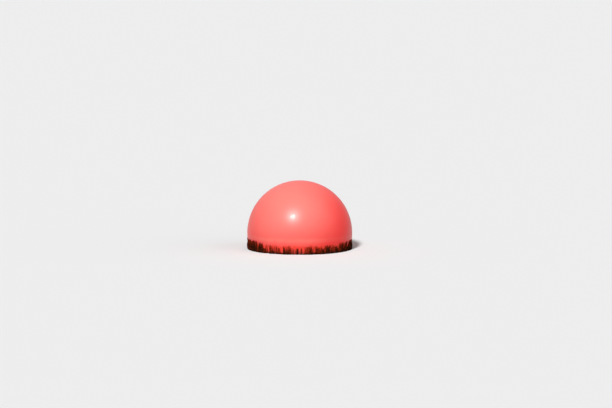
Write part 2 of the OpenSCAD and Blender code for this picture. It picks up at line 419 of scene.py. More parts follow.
@dataclass(frozen=True)
class WetWeed:
    """Wet algae: nearly black where it is thick, olive in patches low down, browner at its tips."""

    dark: Colour = (0.014, 0.0034, 0.0010)
    brown: Colour = (0.074, 0.011, 0.002)
    brown_strands: Span = (0.40, 0.72)
    olive: Colour = (0.085, 0.080, 0.022)
    olive_depth: Span = (-4 * MM, -30 * MM)
    olive_clumps: Span = (0.36, 0.74)
    olive_streaked: float = 0.5
    tip: Colour = (0.120, 0.014, 0.003)
    tip_height: Span = (16 * MM, 40 * MM)
    tip_waver: float = 20 * MM
    tip_strands: Span = (0.25, 0.60)
    strands: Grain = Grain(420.0, 2.0, 0.6, upright=0.06)
    clumps: Grain = Grain(26.0, 4.0, 0.6, 0.4)
    strand_height: float = 0.6 * MM
    roughness: float = 0.50
    rough_strands: float = 0.25
    ior: float = 1.12

    def build(self, name: str) -> bpy.types.Material:
        """Builds the material.

        Args:
            name: its name.

        Returns:
            The material.
        """
        g = Graph(name)
        p = g.place()
        z = g.height(p)
        strand, clump = g.noise(p, self.strands), g.noise(p, self.clumps)
        colour = g.blend(strand.rise(*self.brown_strands), self.dark, self.brown)
        green = (z.rise(*self.olive_depth)
                 * (clump + strand.swing(self.olive_streaked)).rise(*self.olive_clumps))
        colour = g.blend(green, colour, self.olive)
        tips = (z + clump.swing(self.tip_waver)).rise(*self.tip_height) * strand.rise(*self.tip_strands)
        colour = g.blend(tips, colour, self.tip)
        return g.surface(Base_Color=colour, Roughness=self.roughness + strand * self.rough_strands,
                         Normal=g.bump(strand, self.strand_height), IOR=self.ior)


@dataclass(frozen=True)
class MouldedVinyl:
    """Solid dark vinyl with a matt moulded skin, slime in its hollows."""

    base: Colour = (0.022, 0.026, 0.034)
    scuffed: Colour = (0.075, 0.082, 0.095)
    scuff_cover: float = 0.5
    slime: Coat = Coat((0.078, 0.068, 0.026), 0.42, 0.68, 0.78)
    slime_streaked: float = 0.30
    slime_in_hollows: float = 0.25
    slime_off_edges: float = 0.10
    patches: Grain = Grain(60.0, 5.0, 0.6, 0.4)
    runs: Grain = Grain(170.0, 3.0, 0.6, upright=0.18)
    skin: Grain = Grain(900.0)
    patch_height: float = 1.0 * MM
    skin_height: float = 0.12 * MM
    roughness: float = 0.5
    rough_skin: float = 0.10
    rough_slime: float = 0.15

    def build(self) -> bpy.types.Material:
        """Builds the material.

        Returns:
            The material.
        """
        g = Graph("moulded_vinyl_finish")
        p = g.place()
        patch, skin = g.noise(p, self.patches), g.noise(p, self.skin)
        edge, hollow = g.edges()
        held = (patch + g.noise(p, self.runs).swing(self.slime_streaked) + hollow * self.slime_in_hollows
                - edge * self.slime_off_edges)
        slimed = self.slime.spread(held)
        colour = g.coat(g.blend(edge * self.scuff_cover, self.base, self.scuffed), self.slime, slimed)
        rough = self.roughness + skin.swing(self.rough_skin) + slimed * self.rough_slime
        normal = g.bump(skin, self.skin_height, g.bump(patch, self.patch_height))
        return g.surface(Base_Color=colour, Roughness=rough, Normal=normal)


@dataclass(frozen=True)
class Wear:
    """A place where one link rubs on another: its centre and reach, in metres."""

    centre: Place
    reach: float


@dataclass(frozen=True)
class Galvanised:
    """Hot-dip galvanised steel gone dull below the waterline, rusting where it rubs."""

    zinc: Colour = (0.30, 0.31, 0.31)
    dull: Colour = (0.16, 0.17, 0.16)
    dull_frost: Span = (0.35, 0.65)
    bare: Colour = (0.42, 0.42, 0.41)
    bare_cover: float = 0.35
    slime: Coat = Coat((0.060, 0.055, 0.020), 0.41, 0.62, 0.85)
    slime_frosted: float = 0.25
    slime_in_hollows: float = 0.30
    slime_off_edges: float = 0.12
    rust: Colour = (0.20, 0.058, 0.016)
    dark_rust: Colour = (0.075, 0.026, 0.012)
    rust_frost: Span = (0.40, 0.60)
    rust_patches: Span = (0.575, 0.73)
    rust_frosted: float = 0.35
    rust_on_edges: float = 0.05
    rust_cover: float = 0.92
    wear: tuple[Wear, ...] = ()
    wear_ragged: float = 1.4
    wear_span: Span = (1.15, 0.6)
    frost: Grain = Grain(260.0, 4.0, 0.6)
    patches: Grain = Grain(75.0, 5.0, 0.62, 0.5)
    bloom: Grain = Grain(42.0, 5.0, 0.62, 0.4)
    frost_height: float = 0.15 * MM
    pit_height: float = 0.8 * MM
    pit_rust: float = 0.5
    metal: float = 0.80
    metal_lost: float = 0.75
    roughness: float = 0.46
    rough_frost: float = 0.15
    rough_rust: float = 0.28

    def build(self, name: str) -> bpy.types.Material:
        """Builds the material.

        Args:
            name: its name.

        Returns:
            The material.
        """
        g = Graph(name)
        p = g.place()
        frost, patch = g.noise(p, self.frost), g.noise(p, self.patches)
        edge, hollow = g.edges()
        colour = g.blend(frost.rise(*self.dull_frost), self.dull, self.zinc)
        colour = g.blend(edge * self.bare_cover, colour, self.bare)
        held = (g.noise(p, self.bloom) + frost.swing(self.slime_frosted) + hollow * self.slime_in_hollows
                - edge * self.slime_off_edges)
        slimed = self.slime.spread(held)
        colour = g.coat(colour, self.slime, slimed)
        uneven = patch + frost.swing(self.rust_frosted) + edge * self.rust_on_edges
        rusted = self._rusted(g, p, patch, uneven)
        rust = g.blend(frost.rise(*self.rust_frost), self.dark_rust, self.rust)
        colour = g.blend(rusted * self.rust_cover, colour, rust)
        metal = self.metal - rusted.most(slimed) * self.metal_lost
        rough = self.roughness + frost * self.rough_frost + rusted * self.rough_rust
        pits = patch + rusted * frost * self.pit_rust
        normal = g.bump(frost, self.frost_height, g.bump(pits, self.pit_height))
        return g.surface(Base_Color=colour, Roughness=rough, Metallic=metal, Normal=normal)

    def _rusted(self, g: Graph, p: Field, patch: Field, uneven: Field) -> Field:
        """Where the steel rusts: in patches, and round each place of wear.

        Args:
            g: the material's graph.
            p: Object coordinates.
            patch: noise that frays the places of wear.
            uneven: the value whose high parts are patches of rust.

        Returns:
            1 on rust and 0 on sound zinc.
        """
        rusted = uneven.rise(*self.rust_patches)
        for spot in self.wear:
            frayed = g.vector_math("DISTANCE", p, spot.centre) + patch.swing(self.wear_ragged * spot.reach)
            rusted = rusted.most(frayed.rise(*(spot.reach * share for share in self.wear_span)))
        return rusted


@dataclass(frozen=True)
class HardPlastic:
    """Moulded plastic or rubber of one colour, stained in use."""

    base: Colour = (0.03, 0.03, 0.03)
    stain: Coat = Coat((0.09, 0.075, 0.03), 0.45, 0.72, 0.6)
    patches: Grain = Grain(110.0, 4.0, 0.6)
    skin: Grain = Grain(1400.0, 2.0)
    skin_height: float = 0.06 * MM
    roughness: float = 0.4
    rough_patches: float = 0.2

    def build(self, name: str) -> bpy.types.Material:
        """Builds the material.

        Args:
            name: its name.

        Returns:
            The material.
        """
        g = Graph(name)
        p = g.place()
        patch = g.noise(p, self.patches)
        return g.surface(Base_Color=g.coat(self.base, self.stain, self.stain.spread(patch)),
                         Roughness=self.roughness + patch.swing(self.rough_patches),
                         Normal=g.bump(g.noise(p, self.skin), self.skin_height))


# Meshes

class Outline:
    """An outline in the XZ plane that grows by straight runs and arcs, then turns round the Z axis."""

    MERGE: float = 0.01 * MM

    def __init__(self, x: float, z: float) -> None:
        """Starts the outline at one point."""
        self.bm = bmesh.new()
        self.tip = self.bm.verts.new((x, 0.0, z))

    def line(self, x: float, z: float, steps: int = 1) -> "Outline":
        """Runs straight to a point.

        Args:
            x: the point, from the axis.
            z: the point, in height.
            steps: the number of straight pieces.

        Returns:
            The outline itself.
        """
        start = self.tip.co.copy()
        for i in range(1, steps + 1):
            self.tip = bmesh.ops.extrude_vert_indiv(self.bm, verts=[self.tip])["verts"][0]
            self.tip.co = start.lerp(Vector((x, 0.0, z)), i / steps)
        return self

    def arc(self, centre_x: float, centre_z: float, degrees: float, steps: int) -> "Outline":
        """Runs along an arc.

        Args:
            centre_x: the arc's centre, from the axis.
            centre_z: the arc's centre, in height.
            degrees: the angle, clockwise as seen with +X to the right and +Z up.
            steps: the number of straight pieces.

        Returns:
            The outline itself.
        """
        made = bmesh.ops.spin(self.bm, geom=[self.tip], cent=(centre_x, 0.0, centre_z),
                              axis=(0.0, 1.0, 0.0), angle=math.radians(degrees), steps=steps,
                              use_duplicate=False)
        self.tip = [v for v in made["geom_last"] if isinstance(v, bmesh.types.BMVert)][0]
        return self

    def turn(self, steps: int) -> bmesh.types.BMesh:
        """Turns the outline round the Z axis to a closed skin.

        Args:
            steps: the number of steps round.

        Returns:
            The skin.
        """
        turned(self.bm, steps)
        bmesh.ops.remove_doubles(self.bm, verts=self.bm.verts[:], dist=self.MERGE)
        bmesh.ops.recalc_face_normals(self.bm, faces=self.bm.faces[:])
        return self.bm


def turned(bm: bmesh.types.BMesh, steps: int) -> None:
    """Spins all that a bmesh holds round the Z axis, and joins the ends."""
    bmesh.ops.spin(bm, geom=bm.verts[:] + bm.edges[:], cent=(0.0, 0.0, 0.0), axis=(0.0, 0.0, 1.0),
                   angle=math.tau, steps=steps, use_merge=True)


def linked(name: str, data: bpy.types.ID) -> bpy.types.Object:
    """Makes an object in the scene.

    Args:
        name: the object's name.
        data: its mesh, curve, lamp or camera.

    Returns:
        The object.
    """
    made = bpy.data.objects.new(name, data)
    bpy.context.scene.collection.objects.link(made)
    return made


def smooth_piece(name: str, mesh: bpy.types.Mesh, finish: bpy.types.Material) -> bpy.types.Object:
    """Makes a smooth-shaded object of a mesh.

    Args:
        name: the object's name.
        mesh: its mesh.
        finish: its one material.

    Returns:
        The object.
    """
    mesh.materials.clear()
    mesh.materials.append(finish)
    mesh.shade_smooth()
    return linked(name, mesh)


def piece_from(bm: bmesh.types.BMesh, name: str, finish: bpy.types.Material) -> bpy.types.Object:
    """Makes a smooth-shaded object of a bmesh.

    Args:
        bm: the bmesh, which is freed.
        name: the object's name.
        finish: its one material.

    Returns:
        The object.
    """
    mesh = bpy.data.meshes.new(name)
    bm.to_mesh(mesh)
    bm.free()
    return smooth_piece(name, mesh, finish)


def applied(piece: bpy.types.Object) -> bpy.types.Object:
    """Replaces a piece's mesh or curve by what its modifiers make of it.

    Args:
        piece: the piece, which is removed.

    Returns:
        A new piece of the same name and finish.
    """
    graph = bpy.context.evaluated_depsgraph_get()
    mesh = bpy.data.meshes.new_from_object(piece.evaluated_get(graph))
    name, finish = piece.name, piece.data.materials[0]
    bpy.data.objects.remove(piece)
    return smooth_piece(name, mesh, finish)


def strands(name: str, paths: Iterable[Strand], finish: bpy.types.Material, corners: int = 4,
            closed: int = 0) -> bpy.types.Object:
    """Makes round strands of lists of points and radii.

    Args:
        name: the piece's name.
        paths: each strand's points, each with its radius in metres.
        finish: the strands' material.
        corners: the corners of their section, a multiple of four.
        closed: how many of the first paths close on themselves.

    Returns:
        The strands as one mesh.
    """
    curve = bpy.data.curves.new(name, "CURVE")
    curve.dimensions = "3D"
    curve.bevel_depth = 1.0
    curve.bevel_resolution = corners // 4 - 1
    curve.use_fill_caps = True
    for index, points in enumerate(paths):
        spline = curve.splines.new("POLY")
        spline.points.add(len(points) - 1)
        for point, (place, radius) in zip(spline.points, points):
            point.co = (*place, 1.0)
            point.radius = radius
        spline.use_cyclic_u = index < closed
    curve.materials.append(finish)
    return applied(linked(name, curve))


def place_piece(piece: bpy.types.Object, body: str, slot: str, *nodes: str) -> None:
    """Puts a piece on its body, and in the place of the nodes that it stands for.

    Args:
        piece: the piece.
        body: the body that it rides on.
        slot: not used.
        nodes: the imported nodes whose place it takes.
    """
    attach(piece, body)
    if nodes:
        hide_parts(*nodes)
    count = sum(len(face.vertices) - 2 for face in piece.data.polygons)
    LOG.info("%s: %d triangles on %s", piece.name, count, body)


def dress(node: str, finish: bpy.types.Material) -> None:
    """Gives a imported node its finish.

    Args:
        node: the node's name.
        finish: its material.
    """
    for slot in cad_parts[node].material_slots:
        slot.material = finish
    LOG.info("%s: packed solid, %s", node, finish.name)


@dataclass(frozen=True)
class Softening:
    """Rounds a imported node's edges as a forging or a moulding has them: a remesh grid, then smoothing."""

    voxel: float
    passes: int
    pull: float = 0.5
    merge: float = 0.002 * MM

    def copy(self, node: str, name: str, finish: bpy.types.Material) -> bpy.types.Object:
        """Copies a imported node.

        Args:
            node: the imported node.
            name: the copy's name.
            finish: the copy's material.

        Returns:
            The copy, with rounded edges.
        """
        bm = bmesh.new()
        bm.from_mesh(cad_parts[node].data)
        bmesh.ops.remove_doubles(bm, verts=bm.verts[:], dist=self.merge)
        piece = piece_from(bm, name, finish)
        remesh = piece.modifiers.new("remesh", "REMESH")
        remesh.mode = "VOXEL"
        remesh.voxel_size = self.voxel
        smooth = piece.modifiers.new("smooth", "SMOOTH")
        smooth.factor = self.pull
        smooth.iterations = self.passes
        return applied(piece)


@dataclass
class Ball:
    """The inflated ball with its cuff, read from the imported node."""

    finish: bpy.types.Material
    fillet: float = 28 * MM
    wall: float = 3 * MM
    mouth_r: float = 50 * MM
    lip: float = 2 * MM
    around: int = 256
    over: int = 120
    inside: int = 60
    fillet_steps: int = 12
    cuff_steps: int = 3
    lip_steps: int = 4
    mouth_steps: int = 4
    ripple: float = 0.25 * MM
    ripple_grain: float = 14.0
    smooth_fillet: float = 0.3
    folds: int = 26
    fold_depth: float = 0.7 * MM
    fold_reach: float = 105 * MM
    fold_bend: float = 2.0
    fold_grain: float = 2.0

    def __post_init__(self) -> None:
        """Reads the ball's sizes from the frame."""
        low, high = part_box("ball")
        self.radius = (high.x - low.x) / 2
        self.centre_z = high.z - self.radius
        self.centre = Vector((0.0, 0.0, self.centre_z))
        self.low_z = low.z
        collar_low, collar_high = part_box("rope_hold")
        self.cuff_r = (collar_high.x - collar_low.x) / 2

    def rho(self, z: float) -> float:
        """Radius of the ball's surface at a height, from the axis."""
        return math.sqrt(max(0.0, self.radius ** 2 - (z - self.centre_z) ** 2))

    def build(self) -> None:
        """Builds the skin, outer and inner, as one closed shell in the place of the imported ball."""
        fillet_x = self.cuff_r + self.fillet
        fillet_z = self.centre_z - math.sqrt((self.radius + self.fillet) ** 2 - fillet_x ** 2)
        lean = math.degrees(math.atan2(self.centre_z - fillet_z, fillet_x))
        inner_r = self.radius - self.wall
        mouth_z = self.centre_z - math.sqrt(inner_r ** 2 - self.mouth_r ** 2)
        inner_lean = math.degrees(math.asin(self.mouth_r / inner_r))
        outline = Outline(0.0, self.centre_z + self.radius)
        outline.arc(0.0, self.centre_z, 90.0 + lean, self.over)
        outline.arc(fillet_x, fillet_z, -lean, self.fillet_steps)
        outline.line(self.cuff_r, self.low_z + self.lip, self.cuff_steps)
        outline.arc(self.cuff_r - self.lip, self.low_z + self.lip, 90.0, self.lip_steps)
        outline.line(self.mouth_r, self.low_z)
        outline.line(self.mouth_r, mouth_z, self.mouth_steps)
        outline.arc(0.0, self.centre_z, -(180.0 - inner_lean), self.inside)
        bm = outline.turn(self.around)
        self._ripple(bm)
        place_piece(piece_from(bm, "ball_skin", self.finish), "float", "red_vinyl", "ball")

    def _ripple(self, bm: bmesh.types.BMesh) -> None:
        """Makes the outer skin slightly uneven, with folds that run out from the cuff.

        Args:
            bm: the skin's bmesh.
        """
        for vert in bm.verts:
            out = vert.co - self.centre
            from_axis = math.hypot(vert.co.x, vert.co.y)
            inner = out.length < self.radius - self.wall / 2
            if inner or from_axis < self.cuff_r + self.fillet * self.smooth_fillet:
                continue
            height = self.ripple * noise.noise(vert.co * self.ripple_grain)
            if vert.co.z < 0.0:
                share = max(0.0, 1.0 - (from_axis - self.cuff_r) / (self.fold_reach - self.cuff_r))
                turn = math.atan2(vert.co.y, vert.co.x)
                ring = Vector((math.cos(turn), math.sin(turn), 0.0))
                bend = self.fold_bend * noise.noise(ring * self.fold_grain)
                height += self.fold_depth * share * math.cos(self.folds * turn + bend)
            vert.co += out.normalized() * height


@dataclass(frozen=True)
class Cover:
    """How thickly the weed grows at a bearing, in degrees from the front to +X, and its height in mm."""

    bearing: float
    thick: float
    height: float


@dataclass(frozen=True)
class Tuft:
    """One tuft: its bearing and half width in degrees, how thickly it grows, and its height in metres."""

    bearing: float
    spread: float
    thick: float
    top: float


@dataclass(frozen=True)
class Growth:
    """How the strands of one tone stand in a tuft: bearings in degrees, heights and radii in mm."""

    least_locks: float
    more_locks: float
    beyond: float
    fall: float
    fall_kept: float
    thin_fall: float
    girth: Span


# How strongly dark strands keep to the thick tufts
CROWDING = 1.8


class Tone(Enum):
    """The colour of a set of strands, with the way that they grow."""

    DARK = Growth(0.4, 7.0, 0.0, 17.0, 5.0, 24.0, (0.34, 0.72))
    RUSTY = Growth(1.0, 17.0, 0.9, 9.0, 0.0, 0.0, (0.22, 0.48))

    def locks(self, thick: float) -> int:
        """The number of locks in a tuft: dark ones crowd a thick tuft, rusty ones a half-grown one."""
        crowding = thick ** CROWDING if self is Tone.DARK else thick * (1.0 - thick)
        return round(self.value.least_locks + self.value.more_locks * crowding)


def wrapped(degrees: float) -> float:
    """The same bearing between -180 and 180 degrees."""
    return (degrees + 180.0) % 360.0 - 180.0


@dataclass
class Weed:
    """The fringe of algae round the waterline: a lumpy mat, and tufts of strands over it."""

    ball: Ball
    mat_finish: bpy.types.Material
    rusty_finish: bpy.types.Material
    olive_finish: bpy.types.Material
    seed: int = 20
    tuft_count: int = 88
    tuft_shift: float = 0.3
    tuft_waver: float = 0.12
    tuft_least: float = 0.05
    tuft_short: float = 7.0 * MM
    tuft_spread: Span = (0.8, 1.5)
    lone_tuft: Tuft = Tuft(-2.5, 0.1, 0.9, 31 * MM)
    lone_locks: int = 4
    around: int = 960
    rows: int = 18
    low_z: float = -95 * MM
    low_edge: float = 12.0
    low_waves: Lumps = (16.0, 20.0)
    low_locks: Lumps = (7.0, 190.0)
    mat_low: float = -1 * MM
    mat_rise: float = 25 * MM
    mat_level: float = 0.62
    mat_tongue: float = 0.55
    tongue_width: float = 1.1
    mat_fray: Lumps = (6.0 * MM, 420.0)
    mat_under: float = 0.1 * MM
    mat_least: float = 0.35 * MM
    mat_depth: float = 8.5 * MM
    mat_body: float = 0.70
    mat_thin: float = 0.15
    mat_lumps: Lumps = (0.45, 70.0)
    mat_ridges: Lumps = (0.38, 330.0)
    lump_upright: float = 0.6
    ridge_upright: float = 0.15
    peak_share: float = 0.75
    bend: float = 1.5
    lock_strands: int = 6
    lock_lean: float = 0.42
    lock_half: float = 0.65
    lock_close: Span = (0.35, 0.9)
    lock_uneven: float = 7.5
    foot: Span = (-30.0, -12.0)
    cling_steps: int = 6
    cling_swing: Span = (0.05, 0.33)
    cling_wave: float = 6.0
    cling_lift: Span = (0.1, 1.3)
    cling_depth: float = 0.9
    cling_clear: float = 0.6
    cling_taper: float = 0.65
    cling_blunt: int = 4
    trail_locks: tuple[int, int] = (4, 5)
    trail_strands: int = 5
    trail_steps: int = 8
    trail_root: Span = (-88.0, 76.0)
    trail_low: float = 2.2
    trail_length: Span = (18.0, 66.0)
    trail_spread: float = 1.7
    trail_drift: float = 2.6
    trail_swing: Span = (0.2, 1.1)
    trail_wave: float = 5.0
    trail_billow: Span = (0.8, 4.0)
    trail_share: Span = (0.6, 1.0)
    trail_uneven: float = 11.0
    trail_aside: float = 0.6
    trail_girth: Span = (0.26, 0.62)
    trail_depth: float = 0.85
    trail_off: float = 0.4 * MM
    trail_rooted: Span = (0.3, 2.4)
    trail_taper: float = 0.7
    trail_lowest: float = 0.92

    COVERS = tuple(Cover(bearing, thick, height) for bearing, thick, height in (
        (-180, 0.80, 40), (-150, 1.0, 46), (-122, 0.65, 40), (-95, 0.95, 50), (-75, 1.0, 54),
        (-58, 1.0, 53), (-47, 0.95, 49), (-43, 0.85, 46), (-40, 0.04, 28), (-38, 0.04, 28),
        (-35, 0.55, 44), (-29, 0.32, 42), (-24, 0.05, 36), (-17, 0.62, 43), (-13, 0.50, 42),
        (-10, 0.05, 34), (-4, 0.05, 32), (0, 0.05, 34), (5, 0.15, 38), (8, 0.52, 42), (14, 0.44, 42),
        (19, 0.46, 41), (26, 0.50, 41), (31, 0.95, 44), (36, 0.72, 42), (40, 0.62, 43), (45, 0.72, 45),
        (52, 0.86, 47), (75, 1.0, 48), (100, 0.80, 43), (128, 0.55, 38), (155, 0.95, 46),
        (180, 0.80, 40)))

    def __post_init__(self) -> None:
        """Scatters the tufts round the ball."""
        rng = Random(self.seed)
        pitch = 360.0 / self.tuft_count
        self.tufts = []
        for i in range(self.tuft_count):
            bearing = -180.0 + (i + 0.5 + rng.uniform(-self.tuft_shift, self.tuft_shift)) * pitch
            thick, height = self.cover(bearing)
            thick = min(1.0, max(self.tuft_least, thick + rng.uniform(-self.tuft_waver, self.tuft_waver)))
            top = height * MM - rng.random() ** 2 * self.tuft_short
            self.tufts.append(Tuft(bearing, rng.uniform(*self.tuft_spread), thick, top))

    def cover(self, bearing: float) -> tuple[float, float]:
        """Thickness of the growth and height of its tips at a bearing.

        Args:
            bearing: degrees from the front, towards +X.

        Returns:
            The thickness from 0 to 1, and the height in mm.
        """
        bearing = wrapped(bearing)
        for a, b in zip(self.COVERS, self.COVERS[1:]):
            if a.bearing <= bearing <= b.bearing:
                share = (bearing - a.bearing) / (b.bearing - a.bearing)
                return a.thick + (b.thick - a.thick) * share, a.height + (b.height - a.height) * share
        return self.COVERS[0].thick, self.COVERS[0].height

    def mat_top(self, bearing: float) -> float:
        """Finds the mat's upper edge, with a tongue at each tuft and a notch between tufts.

        Args:
            bearing: degrees from the front.

        Returns:
            The edge's height in metres.
        """
        thick, _ = self.cover(bearing)
        index = math.floor((bearing + 180.0) / 360.0 * self.tuft_count)
        tongue = 0.0
        for step in (-1, 0, 1):
            tuft = self.tufts[(index + step) % self.tuft_count]
            away = wrapped(bearing - tuft.bearing)
            height = self.mat_rise * tuft.thick * self.mat_tongue
            tongue = max(tongue, height * math.exp(-(away / (self.tongue_width * tuft.spread)) ** 2))
        return self.mat_low + self.mat_rise * thick * self.mat_level + tongue

    def bed(self, bearing: float, z: float) -> float:
        """Thickness of the mat at a bearing and height."""
        return self.mat_depth * self._swell((z - self.low_z) / (self.mat_top(bearing) - self.low_z))

    def _swell(self, share: float) -> float:
        """Finds how thick the mat is between its edges.

        Args:
            share: 0 at the mat's lower edge and 1 at its top edge.

        Returns:
            The thickness as a share of its greatest.
        """
        if share <= 0.0 or share >= 1.0:
            return 0.0
        peak = self.peak_share
        power = 2.0 * peak
        return (share / peak) ** power * ((1.0 - share) / (1.0 - peak)) ** (2.0 - power)

    def at(self, bearing: float, z: float, lift: float) -> Vector:
        """Finds a point on the ball or off it.

        Args:
            bearing: degrees from the front.
            z: height above the waterline.
            lift: metres off the surface.

        Returns:
            The point.
        """
        a = math.radians(bearing)
        rho = self.ball.rho(z)
        on = Vector((rho * math.sin(a), -rho * math.cos(a), z))
        return on + (on - self.ball.centre).normalized() * lift

    def build_mat(self) -> bpy.types.Object:
        """Builds the lumpy mat as a closed ring against the ball.

        Returns:
            The mat.
        """
        # A plain ring of rows, outer ones first, whose points then go to their places
        bm = bmesh.new()
        layer = bm.verts.layers.int.new("row")
        seeds = [bm.verts.new((1.0 + 0.1 * (i >= self.rows), 0.0, MM * i)) for i in range(2 * self.rows)]
        for i, vert in enumerate(seeds):
            vert[layer] = i
        for a, b in zip(seeds, seeds[1:] + seeds[:1]):
            bm.edges.new((a, b))
        turned(bm, self.around)
        last = self.rows - 1
        for vert in bm.verts:
            bearing = math.degrees(math.atan2(vert.co.x, -vert.co.y))
            row = vert[layer]
            outer = row <= last
            vert.co = self._mat_point(bearing, (row if outer else 2 * last + 1 - row) / last, outer)
        bmesh.ops.recalc_face_normals(bm, faces=bm.faces[:])
        return piece_from(bm, "weed_mat", self.mat_finish)

    def _mat_point(self, bearing: float, share: float, outer: bool) -> Vector:
        """A point of the mat.

        Args:
            bearing: degrees from the front.
            share: 0 at the mat's lower edge and 1 at its top edge.
            outer: whether the point is on the side away from the ball.

        Returns:
            The point's place.
        """
        a = math.radians(bearing)
        ring = Vector((math.sin(a), math.cos(a), 0.0)) * self.ball.radius
        fray, fray_grain = self.mat_fray
        top = self.mat_top(bearing) + abs(noise.noise(ring * fray_grain)) * fray
        waves = sum(size * noise.noise(ring * grain) for size, grain in (self.low_waves, self.low_locks))
        low = self.low_z + (self.low_edge + waves) * MM
        z = low + (top - low) * share
        if not outer:
            return self.at(bearing, z, self.mat_under)
        ridge, ridge_grain = self.mat_ridges
        lump, lump_grain = self.mat_lumps
        ridges = ridge * noise.noise(Vector((ring.x, ring.y, z * self.ridge_upright)) * ridge_grain)
        lumps = lump * noise.noise(Vector((ring.x, ring.y, z * self.lump_upright)) * lump_grain)
        height = max(self.mat_thin, self.mat_body + lumps + ridges)
        return self.at(bearing, z, self.mat_least + self.mat_depth * self._swell(share) * height)

    def _standing(self, rng: Random, tuft: Tuft, tone: Tone, locks: int) -> Iterable[Strand]:
        """Yields strands that cling to the ball above the waterline, in locks whose tips stick together.

        Args:
            rng: the random source.
            tuft: the tuft that they belong to.
            tone: dark strands are thicker and, in a thin tuft, shorter.
            locks: the number of locks.

        Yields:
            Each strand's points and radii.
        """
        grown = tone.value
        for _ in range(locks):
            bearing = tuft.bearing + rng.gauss(0.0, tuft.spread + grown.beyond)
            fall = rng.random() ** 2 * (grown.fall - grown.fall_kept * tuft.thick) * MM
            fall += (1.0 - tuft.thick) * grown.thin_fall * MM
            lean = rng.gauss(0.0, self.lock_lean)
            for _ in range(self.lock_strands):
                top = tuft.top - fall - rng.random() ** 2 * self.lock_uneven * MM
                start = bearing + rng.gauss(0.0, self.lock_half)
                end = bearing + lean + (start - bearing) * rng.uniform(*self.lock_close)
                girth = rng.uniform(*grown.girth) * MM
                yield self._clinging(rng, start, end, rng.uniform(*self.foot) * MM, top, girth)

    def _clinging(self, rng: Random, start: float, end: float, foot: float, top: float,
                  girth: float) -> Strand:
        """Points and radii of one strand that clings to the ball.

        Args:
            rng: the random source.
            start: bearing of its foot.
            end: bearing of its tip.
            foot: height of its foot.
            top: height of its tip.
            girth: its radius at the foot.

        Returns:
            The points, each with its radius.
        """
        phase, swing = rng.uniform(0.0, math.tau), rng.uniform(*self.cling_swing)
        lift = rng.uniform(*self.cling_lift) * MM
        points = []
        for step in range(self.cling_steps + 1):
            share = step / self.cling_steps
            z = foot + (top - foot) * share
            wave = swing * math.sin(phase + self.cling_wave * share)
            turn = start + (end - start) * share ** self.bend + wave
            radius = girth * (1.0 - self.cling_taper * share ** self.cling_blunt)
            off = self.bed(turn, z) * self.cling_depth + lift + radius * self.cling_clear
            points.append((self.at(turn, z, off), radius))
        return points

    def _trailing(self, rng: Random, tuft: Tuft) -> Iterable[Strand]:
        """Yields strands that hang down over the ball below the waterline, in locks that drift together.

        Args:
            rng: the random source.
            tuft: the tuft that they belong to.

        Yields:
            Each strand's points and radii.
        """
        lowest = self.ball.centre_z - self.ball.radius * self.trail_lowest
        for _ in range(rng.randint(*self.trail_locks)):
            root = (self.trail_root[0] + self.trail_root[1] * rng.random() ** self.trail_low) * MM
            length = (self.trail_length[0] + self.trail_length[1] * rng.random() ** 2) * MM
            start = tuft.bearing + rng.gauss(0.0, self.trail_spread)
            drift, swing = rng.gauss(0.0, self.trail_drift), rng.uniform(*self.trail_swing)
            phase, billow = rng.uniform(0.0, math.tau), rng.uniform(*self.trail_billow) * MM
            for _ in range(self.trail_strands):
                reach = length * rng.uniform(*self.trail_share)
                begin = root - self.trail_uneven * rng.random() * MM
                aside, girth = rng.gauss(0.0, self.trail_aside), rng.uniform(*self.trail_girth) * MM
                points = []
                for step in range(self.trail_steps + 1):
                    share = step / self.trail_steps
                    grown = min(1.0, self.trail_rooted[0] + self.trail_rooted[1] * share)
                    z = max(begin - reach * share, lowest)
                    wave = swing * math.sin(phase + self.trail_wave * share)
                    turn = start + drift * share ** self.bend + wave + aside * (1.0 - share)
                    lift = (self.bed(turn, z) * self.trail_depth * grown
                            + billow * math.sin(math.pi * share) + self.trail_off)
                    radius = girth * grown * (1.0 - self.trail_taper * share)
                    points.append((self.at(turn, z, lift), radius))
                yield points

    def build(self) -> None:
        """Builds the mat and the strands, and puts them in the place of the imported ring."""
        rng = Random(self.seed + 1)
        dark, rusty, trailing = [], [], []
        for tuft in self.tufts:
            dark += self._standing(rng, tuft, Tone.DARK, Tone.DARK.locks(tuft.thick))
            rusty += self._standing(rng, tuft, Tone.RUSTY, Tone.RUSTY.locks(tuft.thick))
            trailing += self._trailing(rng, tuft)
        dark += self._standing(rng, self.lone_tuft, Tone.DARK, self.lone_locks)
        place_piece(self.build_mat(), "float", "wet_weed", "weed_fringe")
        for name, paths, finish in (("weed_tufts_dark", dark, self.mat_finish),
                                    ("weed_tufts_rusty", rusty, self.rusty_finish),
                                    ("weed_trails", trailing, self.olive_finish)):
            place_piece(strands(name, paths, finish), "float", "wet_weed")


@dataclass
class RopeHold:
    """The solid moulded plug, its ribbed collar and its tab with the eye."""

    finish: bpy.types.Material
    softening: Softening = Softening(1.2 * MM, 4)

    def build(self) -> None:
        """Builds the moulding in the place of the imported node."""
        piece = self.softening.copy("rope_hold", "rope_hold_moulding", self.finish)
        place_piece(piece, "float", "dark_vinyl", "rope_hold")


